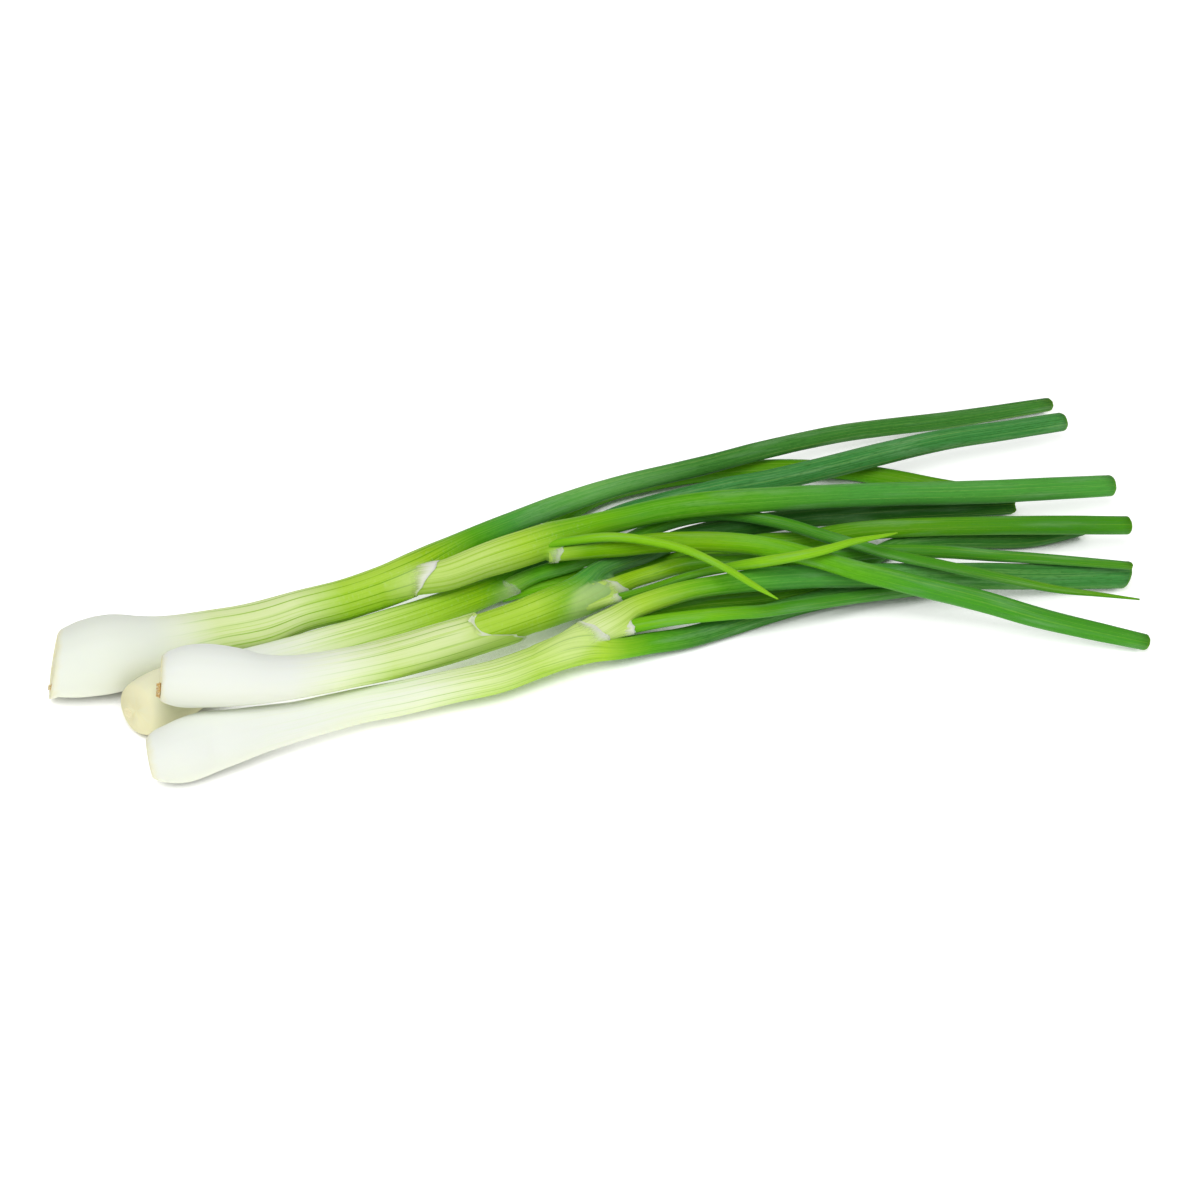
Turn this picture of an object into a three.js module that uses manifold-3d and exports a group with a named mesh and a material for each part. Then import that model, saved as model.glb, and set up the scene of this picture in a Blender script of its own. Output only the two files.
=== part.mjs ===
// A bunch of four spring onions, trimmed at both ends and lying loose on a flat surface.
// Millimetres, +Z up. The bulbs point to -X and the leaves to +X.
// The origin is on the surface, under the middle of the bunch.
//
// Each onion is a stem disc and its leaves, listed from the oldest to the youngest. The lower part
// of a leaf is a pale sheath that wraps the younger leaves, and the upper part is its green blade.

import * as THREE from "three";
import { mergeVertices } from "three/addons/utils/BufferGeometryUtils.js";
import Module from "manifold-3d";

const wasm = await Module();
wasm.setup();

// Sizes that hold for the whole bunch.
const GAP = 0.3; // clearance between two pieces that touch
const COLLAR_WALL = 0.6; // rim of a sheath where a younger leaf comes out of it
const BLADE_WALL = 0.8; // wall of a leaf at its cut end
const HOLLOW_DEPTH = 24; // how far the hollow of a cut leaf is open
const RING_STEP = 10; // length of leaf between two rings
const TRIM_REACH = 9; // length of bulb over which the slant of its cut end fades out
const SHEATH_SIDES = 16;
const BLADE_SIDES = 10;

// The stem disc under the bulb and the stubs of its trimmed roots.
const DISC_SHARE = 0.55; // of the half width of the bulb's end
const DISC_DEPTH = 1.6; // how deep it sits in the bulb
const DISC_RISE = 0.5; // how far its middle stands out
const ROOT_COUNT = 8;
const ROOT_RADIUS = 0.45;
const ROOT_LENGTH = 1.1;

// The middle of the bunch's footprint, in the frame of the stations below.
const MIDDLE = new THREE.Vector2(2.1, 0.3);

const COLOURS = {
  bulb: "#eef2e2",
  shank: "#c8e08e",
  innerShank: "#b5d668",
  dark: "#2f7434",
  mid: "#4a9a35",
  bright: "#74b62a",
  young: "#8cc63a",
  disc: "#dccf9c",
};

// A station is the place of the leaf's middle line and the half width there: [x, y, z, half].
// flat is the thickness of the blade over its width, roll its turn about the middle line in degrees.
// split is the station where the sheath ends. mouth is where the rim of the sheath round the next
// leaf ends, in stations of that next leaf. A leaf with no split is a blade from its start.
// trim is the slant of the cut at the root end: how far it runs towards the tip for each millimetre
// to the side and for each millimetre up.
const ONIONS = {
  back: [
    {
      flat: 0.8,
      roll: 30,
      split: 12,
      mouth: 1.8,
      trim: [0.24, 0.16],
      sheath: "shank",
      blade: "dark",
      stations: [
        [-155.5, 6, 10.2, 9.2], [-148, 5.5, 10.4, 10.8], [-139.5, 5.5, 10.8, 11.3], [-130.5, 5, 10.4, 10.1],
        [-121, 6, 10, 8.2], [-109.5, 8, 9.2, 7.2], [-96.5, 9, 8.8, 6.9], [-84.5, 11, 9.6, 6.2],
        [-71.5, 11, 11.2, 6], [-59.5, 12, 12.8, 6.1], [-50, 14, 14, 6.3], [-41, 18.5, 14.6, 5],
        [-31, 24, 14.4, 3.7], [-18.5, 29.5, 13.4, 3.4], [-1.5, 36, 12.2, 3.3], [18, 41.5, 11.2, 3],
        [44.5, 46, 9.8, 3], [68, 51, 8.2, 2.9], [95, 55.5, 5.8, 2.8], [126.5, 56.5, 3.4, 2.7],
        [161, 57.5, 2.2, 2.2],
      ],
    },
    {
      flat: 0.8,
      roll: 30,
      split: 8,
      mouth: 0.4,
      sheath: "innerShank",
      blade: "mid",
      stations: [
        [-60, 10, 13.6, 4], [-51.5, 9.5, 15.2, 4.4], [-42.5, 9, 15.6, 4.6], [-31.5, 11.6, 15.9, 5],
        [-21, 13.9, 16, 5.3], [-10.5, 16.2, 16, 5.2], [-2, 17.8, 16, 4.4], [6, 19.5, 15.9, 3.7],
        [14, 20.5, 15.8, 3.6], [25, 21, 16.2, 3.7], [38.5, 20.5, 16.2, 3.8], [54.5, 19, 15.5, 3.8],
        [72.5, 17.5, 14.2, 3.7], [95, 15, 12.5, 3.6], [114.5, 12, 11.3, 3.6], [135.5, 9.5, 10, 3.6],
        [161, 7, 8.4, 3.3],
      ],
    },
    {
      flat: 0.8,
      roll: 40,
      blade: "bright",
      stations: [
        [-11.5, 10.5, 15, 1.9], [-2.5, 9.5, 15.4, 2.3], [9, 8, 15.8, 2.8], [20.5, 6.5, 16.3, 3],
        [34.5, 2.5, 16.9, 3], [47.5, -3.5, 17.4, 3], [60, -12, 17.4, 2.8], [72, -21, 16.6, 2.9],
        [87.5, -29, 14.2, 3.1], [104.5, -37, 11, 3.2], [122, -45.5, 7, 3], [147.4, -56.7, 2.5, 2.4],
      ],
    },
    {
      flat: 0.9,
      roll: 0,
      pointed: true,
      blade: "young",
      stations: [
        [-13.5, 12.6, 17.2, 1.2], [-4.5, 11.2, 18.6, 1.4], [6, 7.5, 20.6, 1.5], [16, 2, 21.4, 1.4],
        [25.5, -5, 21.4, 1.3], [34, -14.5, 20.6, 1.1], [40.5, -22.5, 19, 0.9], [45.5, -28, 17.6, 0.2],
      ],
    },
  ],
  under: [
    {
      flat: 0.8,
      roll: 20,
      split: 10,
      mouth: 2.4,
      trim: [-0.1, 0.21],
      sheath: "shank",
      blade: "dark",
      stations: [
        [-136, -17, 8.1, 7.5], [-131.5, -15.5, 8, 8.3], [-125, -12.5, 7.8, 8.2], [-115.5, -8.5, 7.1, 6.4],
        [-102, -4, 5.8, 5.2], [-87, -1, 5.2, 4.9], [-70, 1.5, 5.2, 5], [-54, 4.5, 5.2, 4.9],
        [-40, 8, 5.2, 4.6], [-27, 12.5, 5, 3.9], [-16.5, 20, 4.8, 3.6], [-3.5, 28, 4.8, 3.4],
        [10, 33, 4.8, 3.4], [23, 36.5, 5, 3.4], [47.5, 38.5, 5.6, 3.6], [63.5, 37.5, 6.8, 3.6],
        [82.5, 37, 8.8, 3.6], [101, 38.5, 9.4, 3.6], [120.5, 40.5, 9, 3.4], [141, 41, 8.2, 3.2],
        [157.7, 41.5, 7.6, 3.1],
      ],
    },
    {
      flat: 0.85,
      roll: 0,
      split: 3,
      pointed: true,
      sheath: "innerShank",
      blade: "bright",
      stations: [
        [-41, 7.5, 4.8, 2.7], [-32.5, 9.5, 5, 3], [-23.5, 11, 5.6, 2.9], [-15, 13, 6.6, 2.6],
        [-2.5, 14, 8, 2.6], [10, 17, 9, 2.2], [23.5, 21.5, 9.6, 2.2], [36, 23.2, 9.9, 2.3],
        [47, 21, 10, 2.1], [59.5, 12, 11.2, 2], [70, 0, 13, 2], [84.5, -13.5, 14.2, 1.8],
        [96, -21, 14, 1.7], [107.5, -28, 13.4, 1.7], [125, -36.5, 11.2, 1.3], [137.5, -40.5, 9.6, 0.8],
        [149, -44.5, 8.4, 0.3],
      ],
    },
    {
      flat: 0.8,
      roll: 0,
      blade: "bright",
      stations: [
        [-24.5, 18, 2.5, 2], [-15.5, 27.5, 2.2, 2.6], [-5, 37.5, 2.2, 2.8], [10.5, 48, 2.2, 3],
        [27, 51.5, 2.2, 3], [46, 52, 2.2, 3.1], [67.5, 49, 2.2, 3.1], [86.5, 43, 2.2, 3.1],
        [99.5, 36, 2.2, 3.1], [114, 27, 2.2, 3], [130, 18, 2.2, 2.7],
      ],
    },
    {
      flat: 0.8,
      roll: 20,
      blade: "bright",
      stations: [
        [-25.5, 11, 2.7, 2], [-15.5, 12, 2.7, 2.4], [-1.5, 13, 2.7, 2.8], [17, 13.5, 2.7, 2.6],
        [35, 13, 3, 2.8], [52.5, 12.9, 3.9, 3.3], [64.5, 10.5, 4.6, 3], [79.5, 9, 6, 3],
        [94, 5.5, 7.2, 3], [110.5, 0.5, 8.4, 2.9], [136.5, -7, 9.2, 3], [157.6, -12.8, 9.2, 2.9],
      ],
    },
  ],
  top: [
    {
      flat: 1,
      roll: 0,
      split: 10,
      trim: [-0.12, 0.21],
      torn: true,
      sheath: "bulb",
      stations: [
        [-129, -24, 24.4, 6.5], [-124, -25.5, 24.8, 8.3], [-117.5, -26.5, 24.6, 8.8],
        [-110, -28, 23.8, 8.1], [-102, -29, 22.1, 6.9], [-91, -28, 19.7, 6], [-75, -24.5, 16.8, 5.8],
        [-62, -20.5, 14.2, 6], [-50, -16.5, 12.2, 6.2], [-37, -12.5, 10.8, 6.1], [-25, -9.5, 10.2, 6.1],
      ],
    },
    {
      flat: 0.8,
      roll: 30,
      split: 6,
      mouth: 3.1,
      sheath: "shank",
      blade: "dark",
      stations: [
        [-66.5, -21.5, 15, 4.7], [-57.5, -19, 13.3, 5], [-48, -16, 12, 5.2], [-37, -12.5, 10.8, 5.2],
        [-25, -9, 10.2, 5.3], [-15, -6, 10.4, 5.4], [-6.5, -2, 10.6, 4.6], [1.5, 5, 10.4, 3.1],
        [9, 8.5, 9.8, 2.8], [17.5, 11.5, 8.8, 2.8], [27, 16.8, 7.2, 3], [37, 20.8, 5.3, 2.9],
        [50, 21.6, 4.5, 3.3], [68, 21, 4.2, 3], [89, 18.5, 3.6, 3], [110, 15.5, 3.2, 3],
        [131, 12, 3, 2.7],
      ],
    },
    {
      flat: 0.8,
      roll: 30,
      split: 4,
      mouth: 0.5,
      sheath: "innerShank",
      blade: "young",
      stations: [
        [-21.5, -8, 9.2, 3.6], [-13.5, -7, 9.8, 4], [-5, -6, 10.4, 4.1], [2.5, -4, 10.6, 3.4],
        [9.5, -1, 10.4, 2.6], [17.5, 1, 10, 2.5], [28.5, 3, 9.6, 2.6], [41, 1.2, 9, 2.6],
        [55.5, -1, 8.6, 2.5], [70, -2.9, 8.4, 2.3], [86, -5, 8.4, 2.1], [101, -9.5, 8.6, 2],
        [115.5, -16.5, 9.5, 1.8], [130.5, -22.5, 9.7, 1.6], [151, -30.5, 9.4, 1.2],
      ],
    },
    {
      flat: 0.9,
      roll: 0,
      pointed: true,
      blade: "young",
      stations: [
        [-6, -8.5, 10.6, 1.3], [11, -7, 10.8, 1.3], [25.5, -5, 11.8, 1.3], [36, -7, 14.3, 1.5],
        [46, -11.5, 18, 1.7], [54.5, -15, 21, 1.6], [63, -16, 22.4, 1.4], [72, -15, 22.8, 1.1],
        [81.5, -14.5, 22.6, 0.6], [85.5, -14, 22.4, 0.2],
      ],
    },
  ],
  front: [
    {
      flat: 0.8,
      roll: 10,
      split: 14,
      mouth: 2.6,
      trim: [0.1, -0.07],
      sheath: "shank",
      blade: "dark",
      stations: [
        [-135.5, -37, 7.8, 6.2], [-132, -37, 8, 7.7], [-126.5, -37, 8.3, 8.8], [-120, -35.5, 8.4, 8.7],
        [-112.5, -35.5, 9, 7.6], [-104, -34, 8.5, 6.6], [-93, -32.5, 7.8, 5.6], [-76.5, -30, 7, 5],
        [-64.5, -29.5, 6.8, 4.9], [-49, -28.5, 6.8, 4.8], [-37, -28, 7, 4.8], [-26, -25.5, 7.2, 4.8],
        [-16.5, -23, 7.2, 4.8], [-8, -22.5, 6.6, 4.3], [0.5, -23, 5.2, 3.5], [9.5, -22, 4.2, 3.4],
        [20.5, -21, 3, 3.4], [33, -19, 2.6, 3.3], [45.5, -16.5, 2.4, 3.2], [59.5, -14.5, 2.3, 3.1],
        [75.5, -14, 2.2, 2.9], [95, -15, 2.1, 2.7],
      ],
    },
    {
      flat: 0.68,
      roll: 35,
      split: 5,
      mouth: 0.8,
      sheath: "innerShank",
      blade: "mid",
      stations: [
        [-24, -25.5, 8.2, 3.5], [-16, -24, 9.2, 4.1], [-7.5, -20.5, 10.2, 4.4], [0, -17.5, 10.8, 4],
        [6.5, -14, 11, 3.3], [14, -12, 11.2, 3.1], [23.5, -10.5, 11.3, 3], [34, -10.4, 11.2, 3],
        [45.5, -10.6, 10.8, 3.5], [60.5, -12.1, 10, 3.5], [76, -15, 9.2, 3.7], [92, -18, 8.2, 3.9],
        [109.5, -20.5, 6.4, 4], [130.5, -24.5, 4.8, 3.9], [151.5, -28, 3.8, 4.1],
      ],
    },
    {
      flat: 0.8,
      roll: 0,
      blade: "bright",
      stations: [
        [-7, -20.5, 9.2, 2.1], [4.5, -19, 9, 2.4], [18, -19, 9, 2.2], [34, -20.5, 8.8, 2.2],
        [43, -21.5, 8.4, 2.2], [55.5, -21, 7.6, 2.2], [73, -20, 6, 2.1], [87, -19.5, 4.6, 2],
        [99.5, -19, 3.4, 1.9],
      ],
    },
    {
      flat: 0.8,
      roll: 0,
      blade: "mid",
      stations: [
        [-5.5, -13.5, 6.4, 2], [4, -11, 5, 2.2], [15, -9, 4.2, 2.3], [28.5, -8, 3.4, 2.4],
        [46.5, -9, 2.4, 2.5], [61.5, -8.5, 2.1, 2.6], [77.5, -2.5, 2.1, 2.7], [92, 3.6, 2.2, 2.9],
        [106.5, 2.8, 2.3, 3], [130, -3, 2.3, 3.1], [147.5, -2.2, 2.3, 3],
      ],
    },
  ],
};

// The torn tip of a dead outer sheath: how far it runs on at the side that faces down and forward.
const TORN_REACH = 6.5;
const TORN_TURN = (-150 * Math.PI) / 180;

// Curves through the stations: one for the middle line and one for the half width.
function curvesOf(leaf) {
  const points = leaf.stations.map(([x, y, z]) => new THREE.Vector3(x, y, z));
  const widths = leaf.stations.map((station) => new THREE.Vector3(station[3], 0, 0));
  leaf.last = leaf.stations.length - 1;
  leaf.centre = new THREE.CatmullRomCurve3(points, false, "catmullrom", 0.5);
  leaf.width = new THREE.CatmullRomCurve3(widths, false, "catmullrom", 0.5);
  leaf.length = leaf.centre.getLength();
}

// A sheath is round, and turns into its flatter blade over two stations.
function flatnessAt(leaf, station) {
  if (leaf.split === undefined) return leaf.flat;
  const change = THREE.MathUtils.smoothstep(station, leaf.split - 1.5, leaf.split + 0.5);
  return THREE.MathUtils.lerp(1, leaf.flat, change);
}

// The cross-section's centre, its two half axes and its tangent at a station.
function sectionAt(leaf, station, grow) {
  const t = THREE.MathUtils.clamp(station / leaf.last, 0, 1);
  const centre = leaf.centre.getPoint(t);
  const tangent = leaf.centre.getTangent(t);
  const side = new THREE.Vector3(0, 0, 1).cross(tangent).normalize();
  const half = leaf.width.getPoint(t).x;
  const roll = THREE.MathUtils.degToRad(leaf.roll);
  side.applyAxisAngle(tangent, roll);
  const up = tangent.clone().cross(side);
  const thick = half * flatnessAt(leaf, station);
  return {
    centre,
    tangent,
    side: side.multiplyScalar(half + grow),
    up: up.multiplyScalar(thick + grow),
  };
}

// A closed mesh, with only its positions left, as a solid that can be cut and joined.
function solidOf(geometry) {
  geometry.deleteAttribute("normal");
  geometry.deleteAttribute("uv");
  const merged = mergeVertices(geometry, 1e-5);
  return new wasm.Manifold(
    new wasm.Mesh({
      numProp: 3,
      vertProperties: merged.attributes.position.array,
      triVerts: new Uint32Array(merged.index.array),
    }),
  );
}

// A solid tube along a leaf between two stations. It lies flat where it meets the surface.
// grow makes it thicker, and over makes it longer at both ends. reach and turn slant its far end,
// and trim slants its near end.
function tube(leaf, { from, to, sides, grow = 0, over = 0, reach = 0, turn = 0, trim = [0, 0] }) {
  const share = (to - from) / leaf.last;
  const rings = Math.max(2, Math.round((leaf.length * share) / RING_STEP));
  const geometry = new THREE.CylinderGeometry(1, 1, 1, sides, rings);
  const position = geometry.attributes.position;
  for (let i = 0; i < position.count; i++) {
    const along = position.getY(i) + 0.5;
    const across = position.getZ(i);
    const high = position.getX(i);
    const section = sectionAt(leaf, THREE.MathUtils.lerp(from, to, along), grow);
    const slant = reach * (across * Math.cos(turn) + high * Math.sin(turn)) * along ** 6;
    const near = Math.max(0, 1 - (along * share * leaf.length) / TRIM_REACH);
    const cut = near * (trim[0] * across * section.side.length() + trim[1] * high * section.up.length());
    const past = (along > 0.999 ? over : 0) - (along < 0.001 ? over : 0);
    const point = section.centre
      .addScaledVector(section.side, across)
      .addScaledVector(section.up, high)
      .addScaledVector(section.tangent, slant + cut + past);
    position.setXYZ(i, point.x, point.y, Math.max(point.z, 0));
  }
  return solidOf(geometry);
}

// The rim of a leaf's sheath: a sleeve round the leaf that comes out of it.
function rimOf(leaf, next, extra) {
  const grow = GAP + COLLAR_WALL + extra;
  return tube(next, { from: 0, to: leaf.mouth, sides: SHEATH_SIDES, grow, over: extra });
}

// The whole leaf, thicker by the clearance: what it takes away from the leaves round it.
function clearanceOf(leaf, next) {
  const whole = tube(leaf, { from: 0, to: leaf.last, sides: SHEATH_SIDES, grow: GAP, over: GAP });
  return leaf.mouth ? whole.add(rimOf(leaf, next, GAP)) : whole;
}

// The disc of stem and the roots' stubs, which point out of the bulb's end.
function discOf(leaf, seed) {
  const section = sectionAt(leaf, 0, 0);
  const radius = section.side.length() * DISC_SHARE;
  const [toSide, toUp] = leaf.trim;
  const outward = section.tangent
    .clone()
    .negate()
    .addScaledVector(section.side.clone().normalize(), toSide)
    .addScaledVector(section.up.clone().normalize(), toUp)
    .normalize();
  const turn = new THREE.Quaternion().setFromUnitVectors(new THREE.Vector3(0, 1, 0), outward);
  const place = new THREE.Matrix4().compose(section.centre, turn, new THREE.Vector3(1, 1, 1));
  const profile = [
    new THREE.Vector2(0, -DISC_DEPTH),
    new THREE.Vector2(radius * 0.8, -DISC_DEPTH),
    new THREE.Vector2(radius, -DISC_DEPTH * 0.4),
    new THREE.Vector2(radius * 0.75, DISC_RISE * 0.6),
    new THREE.Vector2(0, DISC_RISE),
  ];
  let disc = solidOf(new THREE.LatheGeometry(profile, 16).applyMatrix4(place));
  for (let i = 0; i < ROOT_COUNT; i++) {
    const angle = i * 2.4 + seed;
    const distance = radius * 0.75 * Math.sqrt((i + 0.5) / ROOT_COUNT);
    const root = new THREE.CylinderGeometry(ROOT_RADIUS * 0.7, ROOT_RADIUS, ROOT_LENGTH * 2, 5);
    root.translate(0, 0.15 * Math.sin(seed + i * 5), 0);
    root.rotateX(0.5 * Math.sin(angle + i));
    root.translate(distance * Math.cos(angle), DISC_RISE * 0.2, distance * Math.sin(angle));
    disc = disc.add(solidOf(root.applyMatrix4(place)));
  }
  const recess = new THREE.CylinderGeometry(radius + GAP, radius + GAP, 4 * DISC_DEPTH, 18);
  recess.translate(0, DISC_DEPTH - GAP, 0);
  return { disc, recess: solidOf(recess.applyMatrix4(place)) };
}

// The sheath of a leaf, with its rim.
function sheathOf(leaf, next) {
  const slant = leaf.torn ? { reach: TORN_REACH, turn: TORN_TURN } : {};
  const end = leaf.torn ? leaf.split - 1 : leaf.split;
  const sheath = tube(leaf, { from: 0, to: end, sides: SHEATH_SIDES, trim: leaf.trim, ...slant });
  return leaf.mouth ? sheath.add(rimOf(leaf, next, 0)) : sheath;
}

// What a leaf's sheath takes away from its own blade: the end it meets and the rim.
function seamOf(leaf, next) {
  const end = { from: leaf.split - 1, to: leaf.split, sides: SHEATH_SIDES, grow: GAP, over: GAP };
  const seam = tube(leaf, end);
  return leaf.mouth ? seam.add(rimOf(leaf, next, GAP)) : seam;
}

// The blade of a leaf, hollow at its end where it was cut.
function bladeOf(leaf) {
  const whole = { from: 0, to: leaf.last, sides: BLADE_SIDES };
  if (leaf.split !== undefined) whole.from = leaf.split;
  const blade = tube(leaf, whole);
  if (leaf.pointed) return blade;
  const open = leaf.last * (1 - HOLLOW_DEPTH / leaf.length);
  const hollow = { from: open, to: leaf.last, sides: BLADE_SIDES, grow: -BLADE_WALL, over: GAP };
  return blade.subtract(tube(leaf, hollow));
}

// The largest body of a solid. What a cut leaves loose beside it is dropped.
function largestOf(solid) {
  const bodies = solid.decompose();
  return bodies.reduce((best, body) => (body.volume() > best.volume() ? body : best));
}

function meshOf(name, solid, colour) {
  const { numProp, vertProperties, triVerts } = solid.getMesh();
  const geometry = new THREE.BufferGeometry();
  const values = new THREE.InterleavedBuffer(vertProperties, numProp);
  geometry.setAttribute("position", new THREE.InterleavedBufferAttribute(values, 3, 0));
  geometry.setIndex(new THREE.BufferAttribute(triVerts, 1));
  const finish = { color: COLOURS[colour], roughness: 0.45, metalness: 0 };
  const mesh = new THREE.Mesh(geometry, new THREE.MeshStandardMaterial(finish));
  mesh.name = name;
  return mesh;
}

// One onion: its stem disc, then a sheath and a blade for each leaf that has them.
function onionOf(name, leaves, seed) {
  const onion = new THREE.Group();
  leaves.forEach(curvesOf);
  const { disc, recess } = discOf(leaves[0], seed);
  onion.add(meshOf(`${name}_stem_disc`, disc, "disc"));
  leaves.forEach((leaf, i) => {
    const next = leaves[i + 1];
    const younger = leaves.slice(i + 1).map((other, k) => clearanceOf(other, leaves[i + k + 2]));
    const fitted = (solid) => largestOf(younger.reduce((rest, cut) => rest.subtract(cut), solid));
    if (leaf.split !== undefined) {
      let sheath = sheathOf(leaf, next);
      if (i === 0) sheath = sheath.subtract(recess);
      onion.add(meshOf(`${name}_sheath_${i + 1}`, fitted(sheath), leaf.sheath));
    }
    if (leaf.blade) {
      let blade = bladeOf(leaf);
      if (leaf.split !== undefined) blade = blade.subtract(seamOf(leaf, next));
      onion.add(meshOf(`${name}_blade_${i + 1}`, fitted(blade), leaf.blade));
    }
  });
  return onion;
}

const bunch = new THREE.Group();
bunch.name = "spring_onion_bunch";
bunch.position.set(-MIDDLE.x, -MIDDLE.y, 0);
Object.entries(ONIONS).forEach(([name, leaves], i) => bunch.add(onionOf(name, leaves, i + 1)));

export default bunch;
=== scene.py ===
"""A loose bunch of four spring onions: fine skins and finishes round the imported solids.

Each leaf is a tube that starts as a straight bmesh cylinder. Its x and y are the place in the
leaf's cross-section and its z counts stations along the leaf, and one bend lays it along the
leaf's middle line. Stations are in millimetres, everything in Blender is in metres.
"""

import math

import bmesh
import bpy
from mathutils import Matrix, Vector, noise
from mathutils.bvhtree import BVHTree


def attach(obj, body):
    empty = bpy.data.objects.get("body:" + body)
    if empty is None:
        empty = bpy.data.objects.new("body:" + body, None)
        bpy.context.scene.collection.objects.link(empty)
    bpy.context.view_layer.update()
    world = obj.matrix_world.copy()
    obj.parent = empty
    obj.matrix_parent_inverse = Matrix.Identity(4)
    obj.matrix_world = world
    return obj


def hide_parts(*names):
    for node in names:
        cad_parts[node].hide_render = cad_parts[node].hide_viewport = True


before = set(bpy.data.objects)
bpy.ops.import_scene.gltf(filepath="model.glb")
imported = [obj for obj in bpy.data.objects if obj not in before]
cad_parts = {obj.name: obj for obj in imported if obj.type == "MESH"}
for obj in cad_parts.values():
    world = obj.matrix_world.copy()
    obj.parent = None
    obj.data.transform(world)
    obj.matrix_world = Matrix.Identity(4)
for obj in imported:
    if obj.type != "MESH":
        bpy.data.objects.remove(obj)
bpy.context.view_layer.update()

bl_info = {
    "name": "Spring onion bunch",
    "version": (1, 0, 0),
    "blender": (4, 5, 0),
    "location": "View3D > Sidebar > Onions",
    "description": "Skins, root ends and finishes of a loose bunch of spring onions",
    "category": "Add Mesh",
}

MM = 0.001
MIDDLE = (2.1, 0.3)  # middle of the footprint, in the frame of the stations
SKIN = 0.985  # share of the solids' half widths that the skins have
RINGS = 7  # rings between two stations
LEAF_SIDES = 36
SHEATH_SIDES = 56
VIEW_SIDE = 139  # degrees round a leaf, from its side axis, to the side that faces the camera
TRIM_FADE = 9.0  # length of bulb over which the slant of its cut end fades out
CUT_FADE = 7.0  # the same at a leaf's cut tip and at a rim
TORN_FADE = 24.0  # the same at a torn sheath
CUT_SLANT = 1.3  # how far a cut tip runs on at the side that faces the camera
HOLLOW_STEPS = 4  # rings down the wall of an open cut end
LIP = 1.8  # length of bulb that closes in at its cut end
LIP_TURN = 90  # degrees from the side that faces the camera to where that lip turns out
RIM_HOLLOW = 0.4  # share of a sleeve, back from its mouth, that is hollow
SLEEVE_ROOM = 0.26  # room that the skin over the next leaf leaves round that leaf
BLEND = 0.9  # radius that rounds the crotch between a leaf and the sleeve of the next one
MOST_SWELL = 6.0  # most that a skin swells over the next leaf
FAR = 30.0  # how far off the middle line the search for a sleeve starts
FLOOR_GAP = 0.02  # least height of a skin over the floor
PLATE_TURN = 65  # degrees from the side that faces the camera to where a root plate lies
PLATE_FLAT = 0.14  # thickness of a root plate over its width
PLATE_BUMPS = 0.22  # height of the bumps on a root plate
ROOT_SPREAD = 0.85  # share of a root plate's radius that has root stubs
ROOT_RADII = (0.26, 0.16)  # a root stub at its plate and at its end
ROOT_LENGTH = 1.6
ROOT_TURN = 2.4  # radians from one root stub to the next, which spreads them evenly
AIM = (2.3, 4.9)  # where the camera looks on the floor, in the frame of the stations

# Painted shade: the darker tone mixed in under each tone, on the side of a leaf that faces down. It
# is mostly shade and partly the underside's own greener tone.
SHADED_UNDERSIDES = {
    "white": "bone", "ivory": "bone", "milk": "pale", "straw": "cream", "pale": "spring",
    "lime": "yellow", "spring": "yellow", "yellow": "moss", "grass": "leaf", "bright": "leaf",
    "apple": "bright", "olive": "moss", "moss": "pine", "leaf": "pine", "jade": "deep",
    "fern": "deep", "pine": "deep", "dew": "fern", "deep": "night", "sea": "night",
    "night": "night",
}

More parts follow.
